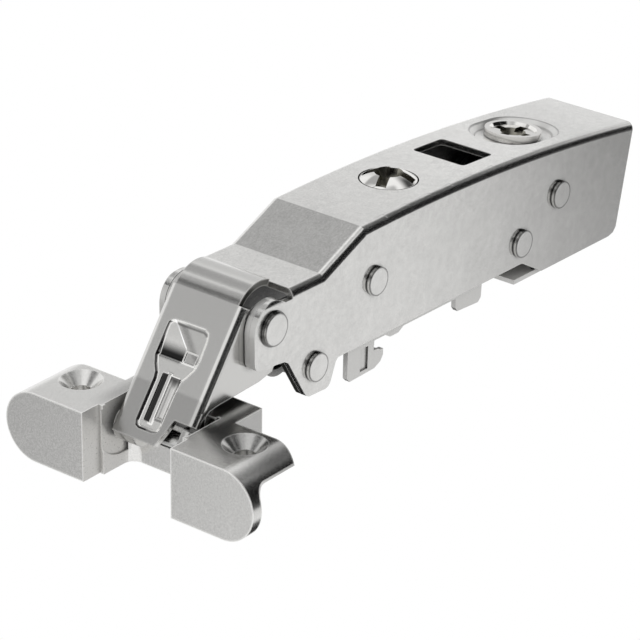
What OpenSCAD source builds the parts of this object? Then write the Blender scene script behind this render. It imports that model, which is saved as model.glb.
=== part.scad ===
// Concealed hinge with a two-lug door bracket for narrow frame doors.
// X runs rearwards into the cabinet, Z up from the seat, Y along the hinge axis.

/* [Arm] */
// Length of the arm from its nose to its rear end
arm_len = 104.08; // [100:0.02:112]
// Width over the two cheeks of the arm
arm_w = 19.2; // [17:0.1:22]
// Sheet thickness of the arm
arm_t = 1.1; // [0.9:0.1:1.4]
// Outside radius of the two long top bends
bend_r = 1.4; // [1.2:0.1:2]
// Height of the front flat above the seat
flat_z = 19.8; // [18.5:0.1:21]
// Highest point of the arched top above the seat
top_z = 24.75; // [24:0.05:26]
// Radius of the arched top
arch_r = 450; // [300:10:600]
// Radius of the nose around the front pivot
nose_r = 4.5; // [4:0.1:5.5]
// Height of the long lower edge of the cheeks
low_z = 4.15; // [3.5:0.05:5]
// Sheet thickness of the inner frame
frame_t = 0.9; // [0.7:0.1:1]
// Side gap between arm cheek and inner frame
frame_gap = 0.05; // [0.03:0.01:0.1]
// Thickness of the bottom web on the seat
web_t = 0.8; // [0.6:0.1:1.2]

/* [Pivots] */
// Radius of the rivet shanks
rivet_r = 1.7; // [1.4:0.1:2]
// Radius of the rivet heads
head_r = 2.4; // [2.2:0.05:3]
// How far a rivet head stands off the cheek
head_h = 0.75; // [0.5:0.05:1.4]
// Radius of the long pin in the door bracket
pin_r = 1.5; // [1.2:0.1:1.8]
// Radius of the short pin in the door bracket
pin2_r = 1.25; // [1:0.05:1.4]
// Radial running clearance of the turning eyes
run = 0.05; // [0.03:0.01:0.1]
// Extra radius of the open eye of the inner link
open_eye = 1.42; // [1.3:0.02:1.6]

/* [Links] */
// Side gap between outer link and inner frame
link_gap = 0.1; // [0.05:0.01:0.3]
// Sheet thickness of the outer link
link_t = 1.1; // [0.9:0.1:1.3]
// Outside radius of the two bends between the front plate and its sides
link_bend = 1.3; // [1.2:0.05:1.6]
// Depth of the pocket behind the pressed panel
panel_d = 0.6; // [0.4:0.05:0.7]
// Outside radius of the curled top of the outer link
curl_r = 6.15; // [5.8:0.05:6.6]
// Outside radius of the rolled eye
eye_r = 2.9; // [2.5:0.05:3]
// Half width of the inner link
lever_hw = 2.6; // [2:0.1:2.9]

/* [Door bracket] */
// Width over the two lugs
lug_span = 50; // [46:0.5:54]
// Height of the bracket
lug_h = 12; // [11:0.1:13]
// Depth of a lug from its face to its back
lug_d = 12.6; // [11.5:0.1:13.5]
// Thickness of the front face
face_t = 2.1; // [1.8:0.1:3]
// Thickness of the top slab of a lug
slab_t = 2.4; // [2:0.1:3]
// Height of the lower end of the screw boss above the foot of the face
boss_z = 6.9; // [5:0.1:8]
// Distance of a door screw from the middle
screw_y = 16.6; // [15:0.1:18]
// Radius of a door screw hole
screw_r = 1.7; // [1.5:0.05:2]
// Radius of a countersink at the top
sink_r = 3.55; // [3:0.05:4]

/* [Adjusting screws] */
// Radius of the side screw head
side_r = 4.75; // [4:0.05:4.85]
// Radius of the hole around the side screw head
side_hole_r = 5.0; // [4.95:0.05:5.4]
// Radius of the depth screw head
depth_r = 4.9; // [4.4:0.1:5.1]
// Depth of the oval dish around the depth screw
dish_d = 1; // [0.8:0.05:1.1]
// How much wider the dish is at its rim, on each side
dish_flare = 1.3; // [0.8:0.1:1.4]
// Thread radius of the side screw
thread_r = 3; // [2.5:0.1:3.2]

/* [Hidden] */
$fn = 48;
e = 0.01;
nose_x = -85.6;
rear_x = nose_x + arm_len;
half = arm_w / 2;
in_half = half - arm_t;
fr_out = in_half - frame_gap;
fr_in = fr_out - frame_t;
link_hw = fr_in - link_gap;
wall_y = link_hw + 0.61;
lug_y = wall_y + 0.84;
back_y = wall_y + 2.94;
R1 = [-81.1, 14.76];
R2 = [-70.25, 4.6];
R3 = [-55.4, 14.5];
R4 = [-14.7, 8.13];
R5 = [-4.12, 13.93];
Q1 = [8.3, 7.8];
Q2 = [12.25, 11.25];
q1w = [-95.71, -1.31];
q2w = [-91.87, 2.27];
eye_mid = [-70.76, 5.26];
tilt = 1.8;
crease = [-68.8, flat_z];
facet = 24.27;
arch_x = -42.5;
flange_x = -76.5;
plate_a = 55.17;
plate_p = [-98.49, 0.56];
curl_c = [-80.59, 15.5];
side_x = -40.1;
depth_x = -4.97;
depth_tilt = asin((depth_x - arch_x) / arch_r);
depth_z = top_z - arch_r + sqrt(pow(arch_r, 2) - pow(depth_x - arch_x, 2));
bridge_top = 8.2;
foot_x = -62.5;
plate_low = -2;
panel = [[15.6, 4.75], [16.7, 4.7], [17.3, 4], [17.45, 3], [17.5, -2.3],
    [17.1, -3.2], [16, -3.6], [12.6, -3.75], [11, -3.5], [9.4, -2.6],
    [8.4, -1.9], [6.5, -1.75], [0.6, -1.6], [-0.1, -1.2], [-0.3, -0.4],
    [-0.3, 2.3], [0, 3], [0.8, 3.35], [7.8, 3.3], [8.8, 3.5], [9.9, 4.2],
    [11.2, 4.75]];

// Draws a side view shape, x and z, as a slab from y0 to y1.
module slab(y0, y1) {
    translate([0, y1, 0])
    rotate([90, 0, 0])
    linear_extrude(height = y1 - y0)
    children();
}

// Round bar along Y.
module rod(p, r, y0, y1) {
    translate([p[0], y1, p[1]])
    rotate([90, 0, 0])
    cylinder(r = r, h = y1 - y0);
}

// Door bracket frame: tilted with the open door.
module cup() {
    translate([-103.76, 0, -9.36])
    rotate([0, -tilt, 0])
    children();
}

module pair() {
    children();
    mirror([0, 1, 0])
    children();
}

// Arm

module arm_outline() {
    translate(R1)
    circle(r = nose_r);
    polygon([[nose_x, 14.76], [-85.35, 9.7], [-84.9, 8.9], [-83.8, 8.48],
        [-81.9, 8.2], [-80.2, 8.27], [-78, 8], [-77, 7.4], [-72.75, 0.75],
        [-72.3, 0.15], [-71.6, -0.2], [-67.4, -0.36], [-66.7, -0.15],
        [-66.2, 0.4], [-64.95, 3.6], [-64.4, low_z], [-13.98, low_z],
        [-7.84, 0.82], [rear_x - 5.78, 0.82], [rear_x - 4.38, 1.2],
        [rear_x - 3.63, 2.1], [rear_x, 22.0], [rear_x, 30], [flange_x, 30],
        [flange_x, 18.2],
        [-78.2, 18.2]]);
}

module channel(hw, r, top) {
    translate([-hw, -90])
    square([2 * hw, 90 + top - r]);
    translate([-(hw - r), -90])
    square([2 * (hw - r), 90 + top]);
    translate([hw - r, top - r])
    circle(r = r);
    mirror([1, 0])
    translate([hw - r, top - r])
    circle(r = r);
}

module along_x(x0, len) {
    translate([x0, 0, 0])
    rotate([90, 0, 90])
    linear_extrude(height = len)
    children();
}

module arch_body(hw, r, rad) {
    translate([arch_x, 0, top_z - arch_r])
    rotate([90, 0, 0])
    rotate_extrude($fn = 720)
    union() {
        translate([rad - 45, -hw])
        square([45 - r, 2 * hw]);
        translate([rad - 45, -(hw - r)])
        square([45, 2 * (hw - r)]);
        translate([rad - r, hw - r])
        circle(r = r, $fn = 48);
        mirror([0, 1])
        translate([rad - r, hw - r])
        circle(r = r, $fn = 48);
    }
}

module top_body(hw, r, d) {
    along_x(-100, 60)
    channel(hw, r, flat_z - d);
    intersection() {
        translate([crease[0], 0, crease[1]])
        rotate([0, -facet, 0])
        along_x(-20, 130)
        channel(hw, r, -d);
        arch_body(hw, r, arch_r - d);
    }
}

module oval(len, wid) {
    translate([-(len - wid) / 2, -wid / 2])
    square([len - wid, wid]);
    for (s = [-1, 1])
    translate([s * (len - wid) / 2, 0])
    circle(r = wid / 2);
}

// Oval dish with sloping walls, its floor at depth d.
module dish(len, wid, d, flare) {
    more = flare / d;
    for (s = [-1, 1])
    translate([s * (len - wid) / 2, 0, -d])
    cylinder(r1 = wid / 2, r2 = wid / 2 + flare + more, h = d + 1);
    along_x(-(len - wid) / 2, len - wid)
    polygon([[-wid / 2, -d], [wid / 2, -d], [wid / 2 + flare + more, 1],
        [-wid / 2 - flare - more, 1]]);
}

module at_depth() {
    translate([depth_x, 0, depth_z])
    rotate([0, depth_tilt, 0])
    children();
}

module arm_shell() {
    color("Silver")
    difference() {
        union() {
            intersection() {
                slab(-half, half)
                arm_outline();
                difference() {
                    top_body(half, bend_r, 0);
                    top_body(in_half, bend_r - arm_t, arm_t);
                }
            }
            at_depth()
            translate([0.26, 0, -2.3])
            linear_extrude(height = 2.1)
            oval(17.6, 13.1);
        }
        translate([-95, -in_half, 15])
        cube([95 + flange_x, 2 * in_half, 8]);
        for (p = [R1, R2, R3, R4, R5])
        rod(p, rivet_r, -half - 1, half + 1);
        translate([side_x, 0, 20])
        cylinder(r = side_hole_r, h = 8);
        translate([0, 0, 20])
        linear_extrude(height = 8)
        window();
        at_depth()
        translate([0.26, 0, 0])
        dish(15, 10.5, dish_d, dish_flare);
        at_depth()
        translate([0, 0, -4])
        linear_extrude(height = 6)
        oval(7.4, 5);
    }
}

module window() {
    translate([-22.5 - 3.4, -5.3])
    square([6.8, 10.6]);
    translate([-22.5 - 4.2, -4.5])
    square([8.4, 9]);
    for (x = [-22.5 - 3.4, -22.5 + 3.4])
    for (y = [-4.5, 4.5])
    translate([x, y])
    circle(r = 0.8);
}

// Inner frame

module frame_outline() {
    translate(R1)
    circle(r = nose_r - 0.05);
    polygon([[-85.55, 14.76], [-85.3, 9.7], [-84.85, 8.9], [-83.8, 8.5],
        [-81.9, 8.22], [-80.2, 8.29], [-78, 8.02], [-77, 7.42], [-72.75, 0.77],
        [-72.3, 0.17], [-71.6, -0.18], [-67.4, -0.34], [-66.7, -0.13],
        [-66.2, 0.42], [-64.95, 3.62], [-64.4, low_z + 0.02],
        [-60.4, low_z + 0.02], [-60.3, -1.6], [-59.6, -2.3], [-53.2, -2.1],
        [-51.6, -1.4], [-50.9, -0.4], [-50.95, 0.7], [-51.65, 0.75],
        [-52.4, 1.1], [-53.5, 1.2], [-53.4, 2.9], [-50.5, 2.9],
        [-49.2, 2.16], [-47, 2.16], [-45.6, 2.95], [-31.3, 2.95],
        [-31.2, 1.2], [-30.6, 0.5], [-24.8, 0.2], [-24, 0.9], [-23.9, low_z],
        [-13.9, low_z], [-9, 2.4], [-7.8, 0], [rear_x - 5.88, 0],
        [rear_x - 4.48, 1.4], [rear_x - 3.88, 4], [rear_x - 2.88, 12],
        [-4, 18.2], [-14, 12.5], [-48, 12.5],
        [-60, 17.5], [-78.2, 17.8]]);
}

module inner_frame() {
    color("Silver")
    difference() {
        union() {
            pair()
            slab(fr_in, fr_out)
            frame_outline();
            translate([-14.4, -fr_out, 0])
            cube([rear_x + 8.42, 2 * fr_out, web_t]);
            translate([-48, -fr_out, 11.7])
            cube([14, 2 * fr_out, 0.8]);
        }
        for (p = [R1, R2, R3, R4, R5])
        rod(p, rivet_r, -half - 1, half + 1);
        translate([-6, 0, -1])
        linear_extrude(height = 3)
        oval(9, 5);
        translate([side_x, 0, 10])
        cylinder(r = thread_r, h = 4);
        pair()
        translate([-57, fr_out - 0.3, -1.5])
        cube([2, 1, 4]);
    }
}

// Rivets

module rivet(p, face, rim) {
    rod(p, rivet_r, -half, half);
    pair()
    difference() {
        rod(p, rim, half, half + head_h);
        if (face < rim)
        difference() {
            rod(p, rim + 1, half + head_h * 0.45, half + head_h + 1);
            rod(p, face, half, half + head_h + 2);
        }
    }
}

module link_rivet() {
    color("Silver")
    rivet(R1, 2.7, 2.9);
}

module lever_rivet() {
    color("Silver")
    rivet(R2, head_r, head_r);
}

module spring_rivet() {
    color("Silver")
    rivet(R3, head_r, head_r);
}

module latch_rivet() {
    color("Silver")
    rivet(R4, head_r, head_r);
}

module carrier_rivet() {
    color("Silver")
    rivet(R5, head_r, head_r);
}

// Adjusting screws

module cross(d, l, w) {
    for (a = [0, 90])
    rotate([0, 0, a])
    translate([-l / 2, -w / 2, -d])
    cube([l, w, 10]);
}

module side_screw() {
    color("WhiteSmoke")
    translate([side_x, 0, 0])
    difference() {
        union() {
            translate([0, 0, 12.6])
            cylinder(r = thread_r - run, h = 11);
            translate([0, 0, 23.4])
            cylinder(r = side_r, h = 1.3);
            intersection() {
                translate([0, 0, 24.6])
                cylinder(r = side_r, h = 4);
                translate([0, 0, 26.3 - 7.6])
                sphere(r = 7.6, $fn = 64);
            }
            translate([0, 0, 21.3])
            cylinder(r1 = thread_r, r2 = side_r, h = 2.11);
        }
        translate([0, 0, 26])
        rotate([0, 0, 20])
        cross(1.95, 8.7, 1.8);
        translate([0, 0, 22.4])
        cylinder(r1 = 0.8, r2 = 2.6, h = 4);
    }
}

module side_nut() {
    color("DarkGray")
    translate([side_x, 0, 12.5])
    difference() {
        translate([-5, 1.15 - fr_in, 0])
        cube([10, 2 * fr_in - 2.3, 4.6]);
        translate([0, 0, -1])
        cylinder(r = thread_r, h = 8);
    }
}

module depth_screw() {
    color("WhiteSmoke")
    at_depth()
    difference() {
        union() {
            translate([0, 0, -5.2])
            cylinder(r = 2.3, h = 5);
            translate([0, 0, 0.05 - dish_d])
            cylinder(r = depth_r, h = 1.3);
        }
        translate([0, 0, 0.85 - dish_d])
        cylinder(r1 = 3.7, r2 = 4.1, h = 0.51);
        translate([0, 0, 0.86 - dish_d])
        cross(0.65, 6.9, 1.6);
        translate([0, 0, -2.4])
        cylinder(r1 = 0.7, r2 = 2.2, h = 2.26);
    }
}

module depth_washer() {
    color("DarkGray")
    at_depth()
    translate([0, 0, -3.4])
    difference() {
        cylinder(r = 4.4, h = 1);
        translate([0, 0, -1])
        cylinder(r = 2.3, h = 3);
    }
}

// Links

module on_plate() {
    translate([plate_p[0], 0, plate_p[1]])
    rotate([0, -plate_a, 0])
    children();
}

module flange_shape() {
    polygon([[-86.75, 17.4], [-97.2, 2.4], [-94.6, 3.5], [-93.3, 4.3],
        [-91.5, 4.6], [-86.5, 4.9], [-81.5, 5.2], [-78.4, 5.9], [-77.6, 7.4],
        [-77.1, 10], [-76.9, 14.76]]);
    translate(R1)
    circle(r = 3.3);
}

module curl_shape() {
    difference() {
        translate(curl_c)
        circle(r = curl_r);
        translate(curl_c)
        circle(r = curl_r - link_t);
        translate(curl_c)
        polygon([[0, 0], [3.4, 8.2], [14, 8.2], [14, -14], [-20, -14],
            [-18.3, 12.7]]);
    }
}

// Side view of the sheet of the outer link: its sides and its front plate.
module link_side() {
    flange_shape();
    translate(plate_p)
    rotate(plate_a)
    translate([plate_low, -link_bend])
    square([22.6 - plate_low, link_bend]);
}

module outer_link() {
    color("Silver")
    difference() {
        union() {
            intersection() {
                on_plate()
                difference() {
                    along_x(-6, 42)
                    channel(link_hw, link_bend, 0);
                    along_x(-7, 44)
                    channel(link_hw - link_t, link_bend - link_t, -link_t);
                }
                slab(-link_hw - 1, link_hw + 1)
                link_side();
            }
            slab(1.15 - link_hw, link_hw - 1.15)
            curl_shape();
            // Rolled eyes, and the leg that holds the near one.
            rod(q1w, eye_r, 3.2, link_hw - 0.05);
            rod(q1w, eye_r, 0.05 - link_hw, -4.6);
            slab(0.05 - link_hw, 1.6 - link_hw)
            translate(plate_p)
            rotate(plate_a)
            polygon([[1.2, -1], [2.9, -0.6], [5.2, -0.6], [5.2, -1.7], [2.7, -2.9]]);
        }
        rod(R1, rivet_r + run, -9, 9);
        rod(q1w, pin_r + run, -9, 9);
        // Lower corner of the plate, cut away on the near side.
        on_plate()
        translate([0, 0, -link_bend - 0.05])
        linear_extrude(height = 3)
        polygon([[plate_low - 2, -1.7], [plate_low - 0.2, -1.7], [2.75, -3.45],
            [2.75, -9], [1.9, -9], [1.9, -5.6], [plate_low - 2, -5.6]]);
        // Pressed panel in the plate.
        on_plate()
        translate([0, 0, -panel_d])
        linear_extrude(height = 3)
        polygon(panel);
        on_plate()
        translate([0, 0, -4])
        linear_extrude(height = 8)
        translate([5, 1.65])
        oval(7.4, 1.1);
    }
}

module inner_link() {
    color("Gray")
    difference() {
        union() {
            rod(q2w, 2.2, -lever_hw, lever_hw);
            rod(eye_mid, rivet_r + open_eye + 1.2, -lever_hw, lever_hw);
            // Finger that pushes the damper rod.
            slab(-2.2, 2.2)
            polygon([[-67.2, 3.6], [-64.6, 0.6], [-64.4, -0.2], [-65.2, -0.9],
                [-66.4, -0.6], [-69.6, 1.1]]);
            slab(-lever_hw, lever_hw)
            polygon([[-92.3, 4.2], [-91.2, 0.4], [-86, 2.6], [-80, 3.2],
                [-73.5, 2.3], [-71, 9.2], [-76, 7.6], [-86, 6.3]]);
        }
        rod(q2w, pin2_r + run, -9, 9);
        rod(eye_mid, rivet_r + open_eye, -9, 9);
    }
}

// Door bracket

module lug_face(inset, y0) {
    r = lug_h / 2 - inset;
    translate([lug_span / 2 - lug_h / 2, lug_h / 2])
    circle(r = r, $fn = 64);
    translate([y0, inset])
    square([lug_span / 2 - lug_h / 2 - y0, lug_h - 2 * inset]);
}

// Space behind the face of a lug, side view, with a fillet under the slab.
module lug_space() {
    translate([face_t + 2, -1])
    square([lug_d, lug_h + 1 - slab_t]);
    translate([face_t, -1])
    square([lug_d, lug_h - 1 - slab_t]);
    translate([face_t + 2, lug_h - slab_t - 2])
    circle(r = 2);
}

module lug() {
    difference() {
        along_x(0, lug_d)
        lug_face(0, lug_y);
        difference() {
            slab(back_y, lug_span)
            lug_space();
            // Boss around the screw.
            translate([8.25, screw_y, boss_z])
            cylinder(r = screw_r + 1.9, h = lug_h);
            // Rib under the rear edge.
            translate([lug_d - 1.4, 12, lug_h - slab_t - 2.6])
            cube([1.2, 8.6, 5]);
        }
        // Rear corner, rounded in plan.
        translate([0, 0, -1])
        linear_extrude(height = lug_h + 2)
        difference() {
            translate([lug_d - 9.1, lug_span / 2 - 6])
            square([12, 8]);
            translate([lug_d - 9.1, lug_span / 2 - 6])
            rotate(180)
            circle(r = 9.1, $fn = 64);
        }
        translate([8.25, screw_y, -1])
        cylinder(r = screw_r, h = lug_h + 2);
        translate([8.25, screw_y, lug_h - 1.85])
        cylinder(r1 = screw_r, r2 = sink_r + 0.02, h = 1.86);
    }
}

module across(r, reach) {
    translate([0, reach, 0])
    rotate([90, 0, 0])
    cylinder(r = r, h = 2 * reach);
}

module door_bracket() {
    color("LightGray")
    cup()
    difference() {
        union() {
            pair()
            lug();
            pair()
            translate([3.8, wall_y, 0])
            cube([5.3, 3.2, lug_h]);
            pair()
            translate([9, wall_y, 0])
            cube([3.6, 3.2, lug_h]);
            translate([10.45, -wall_y - 3.1, 0])
            cube([4.4, 2 * wall_y + 6.2, bridge_top]);
            // Fillets between the bridge and the walls.
            pair()
            linear_extrude(height = bridge_top)
            difference() {
                translate([8.45, wall_y - 2])
                square([2.1, 2.1]);
                translate([8.45, wall_y - 2])
                rotate(180)
                circle(r = 2);
            }
            pair()
            translate([11.8, wall_y - 2.86, 0])
            cube([7.1, 6, lug_h]);
            pair()
            slab(lever_hw + 0.5, lever_hw + 2.8)
            union() {
                translate(Q2)
                circle(r = 2.15);
                polygon([[10.45, 4], [Q2[0] - 2.15, Q2[1]], [Q2[0] + 2.1, Q2[1]],
                    [18.9, 7], [18.9, 0], [10.45, 0]]);
            }
        }
        translate([Q1[0], 0, Q1[1]])
        across(3.35, wall_y);
        pair()
        translate([Q1[0], wall_y + 0.3, Q1[1]])
        rotate([90, 0, 0])
        cylinder(r = 5.7, h = 0.5);
        translate([Q1[0], 0, Q1[1]])
        across(pin_r, wall_y + 2.34);
        translate([Q2[0], 0, Q2[1]])
        across(pin2_r, lever_hw + 2.5);
    }
}

module outer_pin() {
    color("DimGray")
    rod(q1w, pin_r, -wall_y - 2.34, wall_y + 2.34);
}

module inner_pin() {
    color("DimGray")
    rod(q2w, pin2_r, -lever_hw - 2.5, lever_hw + 2.5);
}

// Springs, damper and release

module coil(rad, wire, pitch, turns) {
    rotate_extrude()
    for (i = [0 : turns - 1])
    translate([rad, i * pitch])
    circle(r = wire);
}

module closing_spring() {
    color("DimGray")
    translate([R3[0], 3.85, R3[1]])
    rotate([90, 0, 0])
    union() {
        coil(2.6, 0.6, 1.1, 8);
        translate([0.4, -2.6, 4.4])
        rotate([0, 0, 6])
        rotate([0, -90, 0])
        cylinder(r = 0.5, h = 13.5);
        translate([-0.4, 2.6, 7.7])
        rotate([0, 90, 0])
        cylinder(r = 0.5, h = 8);
    }
}

module damper_body() {
    color("DarkSlateGray")
    translate([-50, 0, 8])
    rotate([0, 90, 0])
    difference() {
        cylinder(r = 3.4, h = 30);
        translate([0, 0, -1])
        cylinder(r = 2.2, h = 27);
    }
}

module damper_cap() {
    color("Black")
    translate([-50, 0, 8])
    rotate([0, 90, 0])
    difference() {
        cylinder(r = 2.2, h = 2);
        translate([0, 0, -1])
        cylinder(r = 1.25, h = 4);
    }
}

module damper_rod() {
    color("WhiteSmoke")
    union() {
        translate([foot_x, 0, 8])
        rotate([0, 90, 0])
        cylinder(r = 1.2, h = 20.5);
        translate([foot_x + 19.5, 0, 8])
        rotate([0, 90, 0])
        cylinder(r = 2.1, h = 3);
        translate([foot_x, -2.4, -0.6])
        cube([1.2, 4.8, 10.4]);
    }
}

module release_lever() {
    color("Gray")
    difference() {
        union() {
            pair()
            slab(fr_in - 2.35, fr_in - 1.35)
            union() {
                translate(R5)
                circle(r = 3.4);
                polygon([[-7.5, 12], [-4.5, 17.6], [14.5, 12], [13.6, 3.4],
                    [9.5, 3.4], [3.5, 8.5]]);
            }
            slab(1.5 - fr_in, fr_in - 1.5)
            polygon([[12.9, 3.4], [13.9, 3.4], [14.8, 12], [13.8, 12.3]]);
        }
        rod(R5, rivet_r + run, -9, 9);
    }
}

module release_spring() {
    color("DimGray")
    translate([R5[0], 2.88, R5[1]])
    rotate([90, 0, 0])
    union() {
        coil(2.4, 0.4, 0.72, 9);
        translate([-0.3, -2.4, 0])
        rotate([0, 90, 0])
        cylinder(r = 0.35, h = 8);
    }
}

arm_shell();
inner_frame();
link_rivet();
lever_rivet();
spring_rivet();
latch_rivet();
carrier_rivet();
side_screw();
side_nut();
depth_screw();
depth_washer();
outer_link();
inner_link();
door_bracket();
outer_pin();
inner_pin();
closing_spring();
damper_body();
damper_rod();
damper_cap();
release_lever();
release_spring();
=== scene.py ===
"""Looks of the concealed hinge: materials, the pressed panel's skin, camera, world and cards."""
import bpy
import math
from mathutils import Vector, Matrix


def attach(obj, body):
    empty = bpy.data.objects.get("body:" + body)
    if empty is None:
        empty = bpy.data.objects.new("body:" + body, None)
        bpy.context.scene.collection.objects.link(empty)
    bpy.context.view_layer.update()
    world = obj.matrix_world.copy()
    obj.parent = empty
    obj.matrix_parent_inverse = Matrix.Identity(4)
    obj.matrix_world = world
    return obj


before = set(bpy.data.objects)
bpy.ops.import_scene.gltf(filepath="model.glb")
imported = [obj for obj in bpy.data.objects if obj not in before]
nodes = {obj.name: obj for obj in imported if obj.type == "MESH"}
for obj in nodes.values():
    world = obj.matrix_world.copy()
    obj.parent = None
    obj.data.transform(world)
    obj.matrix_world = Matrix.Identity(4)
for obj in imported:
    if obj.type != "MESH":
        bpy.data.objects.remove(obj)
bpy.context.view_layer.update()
MM = 0.001

# Places on the part, in mm in the shared frame. The camera stands on the -Y side, so -Y is near.

RIVETS = ("link_rivet", "lever_rivet", "spring_rivet", "latch_rivet", "carrier_rivet")
ARCH_X, ARCH_Z = -42.5, -425.25             # centre of the arched top
BEND_R, BEND_Y = 448.6, 8.2                 # the arc that the top's long bends turn about
BEND_SKIN, BEND_FRONT = 1.25, -58.4         # the outer skin lies beyond, the bends start here
SIDE_SCREW_X = -40.1
DEPTH_X, DEPTH_Z = -4.97, 23.18             # middle of the depth screw's top
DEPTH_TILT = math.radians(4.78)
DISH_SHIFT, DISH_HALF = 0.26, 2.25          # dish middle behind the screw's, half its straight part
STREAK_X, STREAK_Y = -3.4, 5.8              # middle of the dark streak on the dish's far wall
CURL_X, CURL_Z, CURL_R = -80.59, 15.5, 7.5  # the outer link's curled top
NOSE_X = -84.5                              # the sheets' front edges lie ahead of it


# Shader nodes

def new_mat(name):
    m = bpy.data.materials.new(name)
    m.use_nodes = True
    return m, m.node_tree, m.node_tree.nodes["Principled BSDF"]


def link(t, a, b):
    t.links.new(a, b)


def op(t, kind, a, b=None):
    """One math node: each input is a number or a socket."""
    n = t.nodes.new("ShaderNodeMath")
    n.operation = kind
    for i, v in enumerate((a, b)):
        if isinstance(v, (int, float)):
            n.inputs[i].default_value = v
        elif v is not None:
            link(t, v, n.inputs[i])
    return n.outputs[0]


def squares(t, a, b):
    """a * a + b * b"""
    return op(t, "ADD", op(t, "MULTIPLY", a, a), op(t, "MULTIPLY", b, b))


def map_range(t, socket, lo, hi, to_lo, to_hi, smooth=True):
    m = t.nodes.new("ShaderNodeMapRange")
    if smooth:
        m.interpolation_type = "SMOOTHSTEP"
    for key, v in (("From Min", lo), ("From Max", hi), ("To Min", to_lo), ("To Max", to_hi)):
        m.inputs[key].default_value = v
    link(t, socket, m.inputs["Value"])
    return m.outputs["Result"]


def axes(t, vector):
    """The x, y and z of a vector socket."""
    sep = t.nodes.new("ShaderNodeSeparateXYZ")
    link(t, vector, sep.inputs[0])
    return tuple(sep.outputs)


def noise(t, co, scale, detail):
    n = t.nodes.new("ShaderNodeTexNoise")
    n.inputs["Scale"].default_value = scale
    n.inputs["Detail"].default_value = detail
    link(t, co.outputs["Object"], n.inputs["Vector"])
    return n.outputs["Fac"]


def speckle(t, fac, middle, swing):
    """A noise, spread to the middle value plus and minus the swing."""
    return map_range(t, fac, 0.3, 0.7, middle - swing, middle + swing, False)


def occlusion(t, reach, inside=False):
    """How open the place is, or with inside how far it is from an edge of its own piece."""
    ao = t.nodes.new("ShaderNodeAmbientOcclusion")
    ao.samples = 6
    ao.inside = inside
    ao.only_local = inside
    ao.inputs["Distance"].default_value = reach
    return ao.outputs["AO"]


def arch_normal(t, co):
    """Exact normal of the long bends beside the arched top, where the triangles are long."""
    along, across, up = axes(t, co.outputs["Object"])
    x = op(t, "SUBTRACT", along, ARCH_X * MM)
    z = op(t, "SUBTRACT", up, ARCH_Z * MM)
    rho = op(t, "SQRT", squares(t, x, z))
    q = op(t, "SUBTRACT", rho, BEND_R * MM)
    v = op(t, "SUBTRACT", op(t, "ABSOLUTE", across), BEND_Y * MM)
    r = op(t, "SQRT", squares(t, q, v))
    k = op(t, "DIVIDE", q, rho)
    cb = t.nodes.new("ShaderNodeCombineXYZ")
    link(t, op(t, "MULTIPLY", x, k), cb.inputs[0])
    link(t, op(t, "MULTIPLY", v, op(t, "SIGN", across)), cb.inputs[1])
    link(t, op(t, "MULTIPLY", z, k), cb.inputs[2])
    unit = t.nodes.new("ShaderNodeVectorMath")
    unit.operation = "NORMALIZE"
    link(t, cb.outputs[0], unit.inputs[0])
    mask = op(t, "GREATER_THAN", v, 0.0)
    for socket, limit in ((q, 0.0), (r, BEND_SKIN * MM), (along, BEND_FRONT * MM)):
        mask = op(t, "MULTIPLY", mask, op(t, "GREATER_THAN", socket, limit))
    geo = t.nodes.new("ShaderNodeNewGeometry")
    mix = t.nodes.new("ShaderNodeMix")
    mix.data_type = "VECTOR"
    link(t, mask, mix.inputs[0])
    link(t, geo.outputs["Normal"], mix.inputs[4])
    link(t, unit.outputs[0], mix.inputs[5])
    return mix.outputs[1]


# Shades: painted shade and light, and one mottled plating, that a material's colour is multiplied
# by from place to place

def bracket_shade(t, co):
    """The lower arm keeps light off the rear half of the near lug and off the bridge."""
    x, y, z = axes(t, co.outputs["Object"])
    dark = 0.35
    for socket, lo, hi in ((x, -102.5, -95.0), (y, 12.0, 9.0), (z, -3.5, 0.0)):
        dark = op(t, "MULTIPLY", dark, map_range(t, socket, lo * MM, hi * MM, 0.0, 1.0))
    return op(t, "SUBTRACT", 1.0, dark)


def cheek_painted_light_and_mottle(t, co):
    """Painted shade darkening the cheeks towards the rear, painted light on the top's middle, and a
    mottled plating.
    """
    x = axes(t, co.outputs["Object"])[0]
    _, n_y, n_z = axes(t, co.outputs["Normal"])
    near = map_range(t, n_y, -0.6, -0.9, 0.0, 1.0)
    rear = map_range(t, x, -0.055, 0.018, 0.0, 0.41)
    up = map_range(t, n_z, 0.93, 0.97, 0.0, 1.0)
    front_end = map_range(t, x, -0.060, -0.020, 0.06, 0.2)
    rear_end = map_range(t, x, -0.010, 0.003, 1.0, 0.0)
    light = op(t, "MULTIPLY", front_end, rear_end)
    level = op(t, "SUBTRACT", 1.0, op(t, "MULTIPLY", near, rear))
    level = op(t, "ADD", level, op(t, "MULTIPLY", up, light))
    for scale, swing in ((200.0, 0.025), (800.0, 0.03)):
        level = op(t, "MULTIPLY", level, speckle(t, noise(t, co, scale, 2.0), 1, swing))
    return level


def link_shade(t, co):
    """The lower part of the front plate mirrors the bracket and shows darker."""
    x = axes(t, co.outputs["Object"])[0]
    n_x = axes(t, co.outputs["Normal"])[0]
    low = map_range(t, x, -0.0943, -0.0947, 0.0, 0.24)
    front = map_range(t, n_x, -0.5, -0.7, 0.0, 1.0)
    return op(t, "SUBTRACT", 1.0, op(t, "MULTIPLY", front, low))


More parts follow.
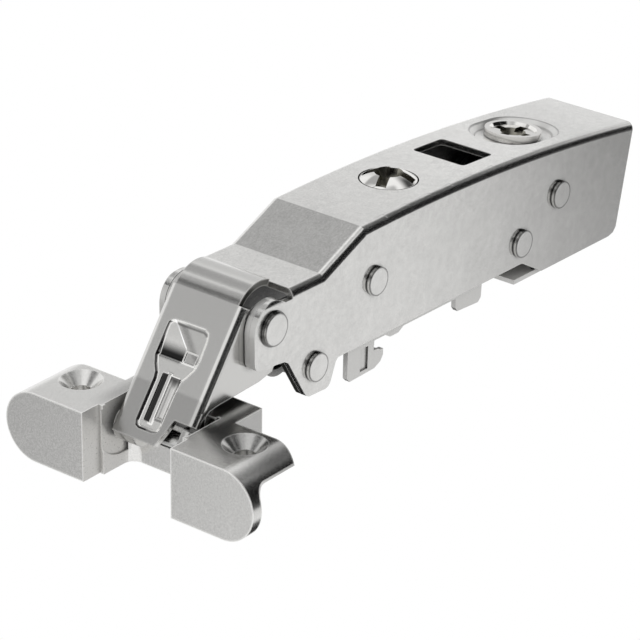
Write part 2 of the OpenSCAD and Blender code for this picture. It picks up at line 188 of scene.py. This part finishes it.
def dish_shade(t, co):
    """Painted shade: the dish's rim and foot as fine darker lines, and the dark streak on its far
    wall.
    """
    along, across, _ = axes(t, co.outputs["Object"])
    per_length, per_width = 360.0, 1300.0       # one over the streak's half sizes in metres
    streak_level = 0.12
    x = op(t, "MULTIPLY", op(t, "SUBTRACT", along, STREAK_X * MM), per_length)
    y = op(t, "MULTIPLY", op(t, "SUBTRACT", across, STREAK_Y * MM), per_width)
    from_streak = op(t, "MINIMUM", squares(t, x, y), 1.0)
    level = op(t, "ADD", streak_level, op(t, "MULTIPLY", from_streak, 1 - streak_level))
    from_middle = op(t, "ABSOLUTE", op(t, "SUBTRACT", along, (DEPTH_X + DISH_SHIFT) * MM))
    past_straight = op(t, "MAXIMUM", op(t, "SUBTRACT", from_middle, DISH_HALF * MM), 0.0)
    rho = op(t, "SQRT", squares(t, past_straight, across))
    for lo, hi, to in ((6.15, 6.35, 0.5), (5.55, 5.35, 0.6)):
        level = op(t, "MULTIPLY", level, map_range(t, rho, lo * MM, hi * MM, 1.0, to, False))
    return level


# Materials

def metal(name, colour, rough, grain=0.0, scale=900.0, speck=0.02, bump=0.0, bend=None,
          crevice=0.12, reach=0.0016, metallic=1.0, plain=1.0,
          rim=0.0, rim_w=0.0003, rim_light=0.0, dark_rim=0.0, tone=None, shade=None):
    """A metal with fine noise in its roughness (grain), its colour (speck) and its relief (bump).

    crevice: the lightness left in tight corners, felt over the reach, a painted shade. plain: the
    least that the metallic look keeps there, if under 1.
    rim: how much of the metallic look goes at edges, over rim_w, and rim_light how much lighter
    they get, a painted highlight. dark_rim: how much darker the edges get instead, a painted shade.
    tone: a mesh attribute of painted light and shade, and shade and bend: functions that make
    nodes. Tone and shade multiply the colour, and bend gives the normal under the bump.
    """
    m, t, p = new_mat(name)
    p.inputs["Metallic"].default_value = metallic
    p.inputs["Roughness"].default_value = rough
    p.inputs["Base Color"].default_value = (*colour, 1)
    co = t.nodes.new("ShaderNodeTexCoord")
    fine = noise(t, co, scale, 3.0)
    # Painted shade: the colour darkens in tight corners, felt over the reach
    crevice_shade = map_range(t, occlusion(t, reach), 0.35, 0.8, crevice, 1.0, False)
    link(t, speckle(t, fine, rough, grain), p.inputs["Roughness"])
    level = op(t, "MULTIPLY", speckle(t, fine, 1, speck), crevice_shade)
    if rim or dark_rim:
        edge_level = 1.0 - (rim or dark_rim)
        flat = map_range(t, occlusion(t, rim_w, inside=True), 0.95, 0.65, 1.0, edge_level, False)
    if rim:
        shine = flat
        if plain < 1:
            shine = op(t, "MULTIPLY", shine, op(t, "MAXIMUM", crevice_shade, plain))
        link(t, shine, p.inputs["Metallic"])
        # Painted highlight: the edges get lighter by rim_light
        if rim_light:
            gain = op(t, "MULTIPLY", op(t, "SUBTRACT", 1.0, flat), rim_light)
            level = op(t, "MULTIPLY", level, op(t, "ADD", gain, 1.0))
    # Painted shade: the edges get darker by dark_rim
    elif dark_rim:
        level = op(t, "MULTIPLY", level, flat)
    if tone:
        at = t.nodes.new("ShaderNodeAttribute")
        at.attribute_name = tone
        level = op(t, "MULTIPLY", level, at.outputs["Fac"])
    if shade:
        level = op(t, "MULTIPLY", level, shade(t, co))
    tint = t.nodes.new("ShaderNodeVectorMath")
    tint.operation = "SCALE"
    tint.inputs[0].default_value = colour
    link(t, level, tint.inputs["Scale"])
    link(t, tint.outputs["Vector"], p.inputs["Base Color"])
    if bump:
        b = t.nodes.new("ShaderNodeBump")
        b.inputs["Strength"].default_value = bump
        b.inputs["Distance"].default_value = 0.0001
        link(t, fine, b.inputs["Height"])
        link(t, b.outputs["Normal"], p.inputs["Normal"])
        if bend:
            link(t, bend(t, co), b.inputs["Normal"])
    return m


# The arm shell takes the cheeks' painted shade and light, and their mottled plating
plate_mat = metal("plated steel", (0.77, 0.765, 0.75), 0.22, grain=0.02, scale=3000, speck=0.07,
                  bump=0.03, bend=arch_normal, rim=0.5, rim_w=0.00025, shade=cheek_painted_light_and_mottle)
# Inner sheets: painted shade deep in the arm's channel, the colour darkening over a reach of 20 mm
inner_mat = metal("inner sheet", (0.70, 0.695, 0.68), 0.3, grain=0.02, scale=4000, speck=0.05,
                  crevice=0.06, reach=0.02, metallic=0.75)
link_mat = metal("link sheet", (0.70, 0.695, 0.68), 0.2, grain=0.02, scale=3500, speck=0.03,
                 rim=0.6, shade=link_shade)
polish_mat = metal("polished nickel", (0.84, 0.83, 0.81), 0.08, crevice=0.3, reach=0.0015)
# Rivet sides: painted shade, very dark in their corners and at their edges
side_mat = metal("rivet side", (0.75, 0.745, 0.73), 0.25, crevice=0.03, reach=0.0008, dark_rim=0.9)
# Rivet heads: a painted dark line at their edges, and the cheeks' painted shade and light
rivet_mat = metal("rivet", (0.80, 0.795, 0.78), 0.25, grain=0.02, scale=1200, speck=0.03,
                  dark_rim=0.7, rim_w=0.00035, shade=cheek_painted_light_and_mottle)
# Cast zinc: a painted highlight at its edges, and painted shade where the lower arm keeps light off
zinc_mat = metal("cast zinc", (0.76, 0.755, 0.74), 0.24, grain=0.03, scale=3500, speck=0.06,
                 bump=0.04, crevice=0.65, plain=0.25, rim=0.8, rim_w=0.00035, rim_light=0.35,
                 shade=bracket_shade)
spring_mat = metal("spring steel", (0.25, 0.25, 0.26), 0.35)
pin_mat = metal("pin", (0.6, 0.6, 0.59), 0.25)
black_mat, _, black = new_mat("damper plastic")
black.inputs["Base Color"].default_value = (0.03, 0.03, 0.033, 1)
black.inputs["Roughness"].default_value = 0.85
black.inputs["Specular IOR Level"].default_value = 0.2

LOOKS = (
    (plate_mat, "plated_steel", ("arm_shell",)),
    (inner_mat, "plated_steel",
     ("inner_frame", "side_nut", "depth_washer", "inner_link", "release_lever")),
    (rivet_mat, "plated_steel", RIVETS),
    (link_mat, "plated_steel", ("outer_link",)),
    (polish_mat, "polished_steel", ("side_screw", "depth_screw", "damper_rod")),
    (pin_mat, "polished_steel", ("outer_pin", "inner_pin")),
    (zinc_mat, "cast_zinc", ("door_bracket",)),
    (spring_mat, "spring_steel", ("closing_spring", "release_spring")),
    (black_mat, "damper_plastic", ("damper_body", "damper_cap")),
)
for mat, slot, names in LOOKS:
    for name in names:
        o = nodes[name]
        o.data.materials.clear()
        o.data.materials.append(mat)


# Single faces with a material of their own. Each test gets a face's centre in mm and its normal.

def paint(name, mat, test):
    me = nodes[name].data
    me.materials.append(mat)
    k = len(me.materials) - 1
    for f in me.polygons:
        if test(f.center / MM, f.normal):
            f.material_index = k


def at_depth(c):
    """A point in the depth screw's own axes."""
    x, z = c.x - DEPTH_X, c.z - DEPTH_Z
    ca, sa = math.cos(DEPTH_TILT), math.sin(DEPTH_TILT)
    return x * ca - z * sa, c.y, x * sa + z * ca


def on_rivet_side(c, n):
    return abs(n.y) < 0.5


def in_side_recess(c, n):
    floor = 23 < c.z < 24.2
    wall = 22.9 < c.z < 26 and abs(n.z) < 0.8
    return math.hypot(c.x - SIDE_SCREW_X, c.y) < 4.3 and (floor or wall)


def in_depth_recess(c, n):
    u, v, h = at_depth(c)
    return math.hypot(u, v) < 3.6 and -2.5 < h < -0.16


def on_dish_wall(c, n):
    u, v, h = at_depth(c)
    rho = math.hypot(max(abs(u - DISH_SHIFT) - DISH_HALF, 0), v)
    return 5.2 < rho < 6.7 and -1.05 < h < 0.05 and n.z < 0.95


def on_nose(c, n):
    return c.x < NOSE_X and n.x < -0.5


def on_shadowed_edge(c, n):
    return -76 < c.x < -66 and n.x < -0.7 and n.z < -0.3


def on_web_top(c, n):
    return n.z > 0.9 and c.z < 1.2


def on_curl_edge(c, n):
    return n.y < -0.9 and math.hypot(c.x - CURL_X, c.z - CURL_Z) < CURL_R and c.z > 12


def on_far_lug_side(c, n):
    return n.y < -0.9 and c.y > 7


# Screw recesses: a darker colour, painted shade in the hollows
recess_mat = metal("screw recess", (0.30, 0.29, 0.25), 0.35, crevice=0.35, reach=0.0015)
edge_mat = metal("sheet edge", (0.62, 0.615, 0.60), 0.35, crevice=0.35, reach=0.0006, metallic=0.3)
web_mat = metal("bottom web", (0.64, 0.635, 0.62), 0.35, crevice=0.6, reach=0.0006, metallic=0.1)
dark_mat = metal("sheet edge in shadow", (0.05, 0.05, 0.045), 0.5, crevice=0.5)
# The curl's near sheet edge: painted shade, with a painted highlight at its rim
curl_shade_mat = metal("curl edge", (0.16, 0.158, 0.15), 0.3, rim=0.6, rim_light=2.5)
# The dish's walls carry the painted shade of the dish's lines and streak
dish_mat = metal("dish wall", (0.80, 0.795, 0.78), 0.3, crevice=0.6, metallic=0.35,
                 shade=dish_shade)
# A darker copy of the cast zinc for the far lug's near-facing side: painted shade
zinc_shade_mat = metal("cast zinc side", (0.66, 0.65, 0.63), 0.3, grain=0.03, scale=3500,
                      speck=0.06, bump=0.04, crevice=0.65, metallic=0.5)
for name in RIVETS:
    paint(name, side_mat, on_rivet_side)
paint("side_screw", recess_mat, in_side_recess)
paint("depth_screw", recess_mat, in_depth_recess)
paint("arm_shell", dish_mat, on_dish_wall)
paint("arm_shell", edge_mat, on_nose)
paint("inner_frame", edge_mat, on_nose)
paint("inner_frame", dark_mat, on_shadowed_edge)
paint("outer_link", curl_shade_mat, on_curl_edge)
paint("inner_frame", web_mat, on_web_top)
paint("door_bracket", zinc_shade_mat, on_far_lug_side)


# Pressed panel of the outer link: a height field in the plate's own plane, in mm.
# t runs up the plate, y across it and h out of it.

PLATE_FOOT = Vector((-98.49, 0, 0.56))
PLATE_ANGLE = math.radians(55.17)
PLATE_D = Vector((math.cos(PLATE_ANGLE), 0, math.sin(PLATE_ANGLE)))
PLATE_N = Vector((-math.sin(PLATE_ANGLE), 0, math.cos(PLATE_ANGLE)))
PANEL = [
    (15.6, 4.75), (16.7, 4.7), (17.3, 4.0), (17.45, 3.0), (17.5, -2.3), (17.1, -3.2),
    (16.0, -3.6), (12.6, -3.75), (11.0, -3.5), (9.4, -2.6), (8.4, -1.9), (6.5, -1.75),
    (0.6, -1.6), (-0.1, -1.2), (-0.3, -0.4), (-0.3, 2.3), (0.0, 3.0), (0.8, 3.35),
    (7.8, 3.3), (8.8, 3.5), (9.9, 4.2), (11.2, 4.75)]
GRID_T, GRID_Y = (-0.5, 18.2), (-3.9, 8.8)  # start and length of the grid that covers it
RECESS_DEPTH = 0.57                         # the plate's own metal begins below it
FACET_T = 11.75                             # the two upper facets start here
RIDGE_T, RIDGE_Y = 13.6, -0.3               # and the ridge between them here
PAD = (11.6, 13.25, -2.75, -0.7)            # boxes: t from, t to, y from, y to
SLOT = (1.2, 9.0, 1.1, 2.2)
RIB = (1.0, 9.2, 0.5, 1.1)
GROOVE = (2.0, 8.9, -1.1, 0.3)
GROOVE_LOOK = (1.6, 8.9, -1.5, 0.35)


def on_plate(t, y, h):
    return (PLATE_FOOT + PLATE_D * t + Vector((0, y, 0)) + PLATE_N * h) * MM


def clamp(x):
    return max(0.0, min(1.0, x))


def step(a, b, x):
    """A smooth step from 0 at a to 1 at b."""
    k = clamp((x - a) / (b - a))
    return k * k * (3 - 2 * k)


def inside_distance(t, y):
    """Distance to the panel's outline, positive inside."""
    best = 1e9
    inside = False
    n = len(PANEL)
    for i in range(n):
        ax, ay = PANEL[i]
        bx, by = PANEL[(i + 1) % n]
        ex, ey = bx - ax, by - ay
        k = clamp(((t - ax) * ex + (y - ay) * ey) / (ex * ex + ey * ey))
        best = min(best, math.hypot(t - ax - k * ex, y - ay - k * ey))
        if (ay > y) != (by > y) and t < ax + (y - ay) * ex / ey:
            inside = not inside
    return best if inside else -best


def box_in(t, y, box):
    """How far inside a box, negative outside."""
    t0, t1, y0, y1 = box
    return min(t - t0, t1 - t, y - y0, y1 - y)


def ridge(t, y):
    """Where the ridge between the facets lies, and how far the place is on the far one."""
    ridge_y = RIDGE_Y + (t - RIDGE_T) * 3.7 / 3.5
    return ridge_y, step(-0.12, 0.12, y - max(ridge_y, RIDGE_Y))


def panel_height(t, y, d):
    """Height over the plate's face, at the distance d inside the outline."""
    ridge_y, on_far = ridge(t, y)
    up = clamp((t - FACET_T) / 5.2)
    far_facet = -0.16 - 0.40 * (1 - up) ** 2.2
    near_facet = -0.14 - 0.14 * step(0.0, 2.5, ridge_y - y)
    facets = near_facet * (1 - on_far) + far_facet * on_far
    floor = -0.36 + 0.03 * (9 - t) / 9
    upper = step(FACET_T - 0.5, FACET_T, t)
    h = floor * (1 - upper) + facets * upper
    h *= step(0.0, 0.55, d)
    h -= 0.16 * step(-0.08, 0.08, box_in(t, y, PAD))
    h -= 0.20 * step(-0.06, 0.06, box_in(t, y, SLOT))
    h += 0.10 * step(-0.25, 0.1, box_in(t, y, RIB))
    h -= 0.16 * step(-0.2, 0.35, box_in(t, y, GROOVE))
    return max(h, -RECESS_DEPTH)


def panel_painted_light(t, y, d):
    """Painted light and shade: how light the metal shows, where 1 is the material's own colour."""
    ridge_y, on_far = ridge(t, y)
    tone = 1.3
    if t > 11.55:
        far_facet = 1.4 - 1.37 * step(14.4, 12.2, t) * step(0.2, 0.7, d)
        near_line = step(0.25, 0.45, d) * step(0.95, 0.6, d) * step(16.2, 16.6, t)
        tone = (1.2 - 0.75 * near_line) * (1 - on_far) + far_facet * on_far
        tone += 0.5 * step(0.28, 0.05, abs(y - ridge_y)) * step(13.4, 13.7, t)
    elif t > 10.8:
        tone -= 0.75 * step(10.8, 11.5, t) * step(-0.2, 0.3, y)
    tone += (1.0 - tone) * step(-0.1, 0.05, box_in(t, y, PAD))
    tone *= 1 - 0.94 * step(-0.14, 0.06, box_in(t, y, SLOT))
    if box_in(t, y, GROOVE_LOOK) > 0:
        band = step(0.5, 0.15, abs(y + 0.55)) * step(2.0, 2.6, t) * step(7.9, 6.9, t)
        tone = 0.75 + 0.75 * band
        tone *= 1 - 0.75 * step(7.3, 8.6, t)
        tone *= 1 - 0.6 * step(-1.15, -1.4, y)
    # The outline: a painted shade line on the far side and at the foot, a painted highlight on the
    # near side
    if d < 0.5:
        far = step(0.5, 1.1, y - 0.25 * step(9, 12, t)) if t < 16.9 else 0.0
        tone = tone * (1 - far) + far * (0.12 + 1.1 * step(0.18, 0.42, d))
        if t < 0.2:
            tone *= 0.35 + 0.65 * step(0.15, 0.4, d)
    return max(0.03, tone)


def panel_mesh(res):
    """The panel's skin, drawn over the recess of the plate."""
    me = bpy.data.meshes.new("pressed_panel")
    nt, ny = int(GRID_T[1] / res), int(GRID_Y[1] / res)
    index, verts, tones, faces = {}, [], [], []
    for i in range(nt + 1):
        for j in range(ny + 1):
            t, y = GRID_T[0] + i * res, GRID_Y[0] + j * res
            d = inside_distance(t, y)
            if d > -0.6 * res:
                index[(i, j)] = len(verts)
                verts.append(on_plate(t, y, panel_height(t, y, d)))
                tones.append(panel_painted_light(t, y, d))
    for i in range(nt):
        for j in range(ny):
            q = [(i, j), (i + 1, j), (i + 1, j + 1), (i, j + 1)]
            if all(c in index for c in q):
                faces.append([index[c] for c in q])
    me.from_pydata(verts, [], faces)
    # Each point's painted light and shade, which the panel's material multiplies its colour by
    at = me.attributes.new("tone", "FLOAT", "POINT")
    at.data.foreach_set("value", tones)
    for f in me.polygons:
        f.use_smooth = True
    o = bpy.data.objects.new("pressed_panel", me)
    bpy.context.scene.collection.objects.link(o)
    return o


panel = panel_mesh(0.08)
panel.data.materials.append(metal("panel sheet", (0.66, 0.655, 0.64), 0.2, grain=0.02, scale=3500,
                                  speck=0.03, crevice=1.0, tone="tone"))
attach(panel, "outer_link_body")


# Camera, fitted to the photograph

cam = bpy.data.objects.new("camera", bpy.data.cameras.new("camera"))
bpy.context.scene.collection.objects.link(cam)
cam.location = (-0.43472924, -0.29087335, 0.22229255)
cam.rotation_euler = (1.1431435, -0.0328650, -0.8996257)
cam.data.sensor_width = 36
cam.data.lens = 182.597
cam.data.clip_start = 0.01
cam.data.clip_end = 20
bpy.context.scene.camera = cam

# World: white for the camera and for reflections, a plain level for the rest

world = bpy.data.worlds.new("world")
bpy.context.scene.world = world
world.use_nodes = True
wt = world.node_tree
bg = wt.nodes["Background"]
rays = wt.nodes.new("ShaderNodeLightPath").outputs
white = op(wt, "MAXIMUM", rays["Is Camera Ray"], rays["Is Glossy Ray"])
white = op(wt, "MAXIMUM", white, rays["Is Transmission Ray"])
bg.inputs["Color"].default_value = (1, 1, 1, 1)
link(wt, map_range(wt, white, 0.0, 1.0, 0.8, 1.0, False), bg.inputs["Strength"])


# Cards: grey, with soft edges, seen only in reflections. Stage things, no part of the hinge.

CARD_CENTRE = Vector((-0.045, 0, 0.005))
CARD_DISTANCE = 1.6


def card(name, d, size, level, soft=0.35, roll=0.0):
    """A card in the direction d, that faces the hinge. soft: the share of it that fades out."""
    d = Vector(d).normalized()
    me = bpy.data.meshes.new(name)
    w, h = size[0] / 2, size[1] / 2
    me.from_pydata([(-w, -h, 0), (w, -h, 0), (w, h, 0), (-w, h, 0)], [], [(0, 1, 2, 3)])
    uv = me.uv_layers.new(name="UV")
    for i, c in enumerate([(0, 0), (1, 0), (1, 1), (0, 1)]):
        uv.data[i].uv = c
    o = bpy.data.objects.new(name, me)
    bpy.context.scene.collection.objects.link(o)
    o.location = CARD_CENTRE + d * CARD_DISTANCE
    q = (-d).to_track_quat("Z", "Y")
    o.rotation_mode = "QUATERNION"
    o.rotation_quaternion = q @ Matrix.Rotation(roll, 3, "Z").to_quaternion()
    m, t, p = new_mat(name)
    t.nodes.remove(p)
    co = t.nodes.new("ShaderNodeTexCoord")
    fade = []
    for socket in axes(t, co.outputs["UV"])[:2]:
        from_middle = op(t, "ABSOLUTE", op(t, "SUBTRACT", socket, 0.5))
        fade.append(map_range(t, from_middle, 0.5 - soft * 0.5, 0.5, 1.0, 0.0))
    em = t.nodes.new("ShaderNodeEmission")
    em.inputs["Color"].default_value = (level, level, level, 1)
    tr = t.nodes.new("ShaderNodeBsdfTransparent")
    mix = t.nodes.new("ShaderNodeMixShader")
    link(t, op(t, "MULTIPLY", *fade), mix.inputs["Fac"])
    link(t, tr.outputs[0], mix.inputs[1])
    link(t, em.outputs[0], mix.inputs[2])
    link(t, mix.outputs[0], t.nodes["Material Output"].inputs["Surface"])
    me.materials.append(m)
    o.visible_camera = False
    o.visible_diffuse = False
    o.visible_shadow = False
    o.visible_transmission = False


def ring(deg):
    """Where the cheek, the top and the bend between them look, by angle from the far side up."""
    x, k = 0.72, 0.69
    a = math.radians(deg)
    return (x, k * math.cos(a), k * math.sin(a))


card("bend card", ring(160), (1.5, 2.1), 0.01, 0.22)
card("under card", ring(268), (1.3, 1.95), 0.01, 0.3)
card("near card", (-0.52, -0.72, 0.42), (1.5, 1.3), 0.01, 0.3)
card("roll card", (-0.516, 0.545, 0.66), (1.5, 0.62), 0.08, 0.8, math.radians(-35))
card("curl card", (-0.31, 0.55, 0.775), (0.42, 0.8), 0.42)
card("fold card", (0.1, -0.85, 0.40), (1.4, 2.2), 0.01, 0.2)
card("sky card", (-0.1, -0.25, 0.95), (1.2, 1.2), 0.5, 0.6)
card("slope card", ring(102), (1.9, 1.5), 0.07, 0.9)
card("rear card", (0.88, -0.40, -0.27), (1.2, 1.2), 0.22, 1.0)
card("floor card", (0.07, 0.54, -0.84), (1.6, 1.6), 0.01, 0.3)
card("top card", ring(36.8), (1.6, 1.2), 0.72, 0.5)
card("cheek card", ring(217), (1.3, 0.55), 0.84)
card("facet card", (0.166, 0.62, 0.80), (1.0, 1.0), 0.44, 0.5)
card("plate card", (-0.64, 0.555, 0.532), (1.1, 1.1), 0.54, 0.6)
card("lug card", (-0.62, 0.70, -0.44), (1.2, 1.4), 0.28, 1.0)

bpy.context.scene.view_settings.view_transform = "Standard"


# Small bevels, in mm, on edges that turn by more than this angle; the arm has one of its own

BEVEL_DEG, ARM_BEVEL_DEG = 38, 20
BEVEL = {
    "arm_shell": 0.12, "inner_frame": 0.1, "outer_link": 0.12, "inner_link": 0.15,
    "door_bracket": 0.3, "link_rivet": 0.25, "lever_rivet": 0.25, "carrier_rivet": 0.25,
    "spring_rivet": 0.2, "latch_rivet": 0.2, "depth_screw": 0.15, "side_screw": 0.1}
for name, width in BEVEL.items():
    b = nodes[name].modifiers.new("edge", "BEVEL")
    b.width = width * MM
    b.segments = 2
    b.limit_method = "ANGLE"
    b.angle_limit = math.radians(ARM_BEVEL_DEG if name == "arm_shell" else BEVEL_DEG)
    b.use_clamp_overlap = True
    b.harden_normals = False
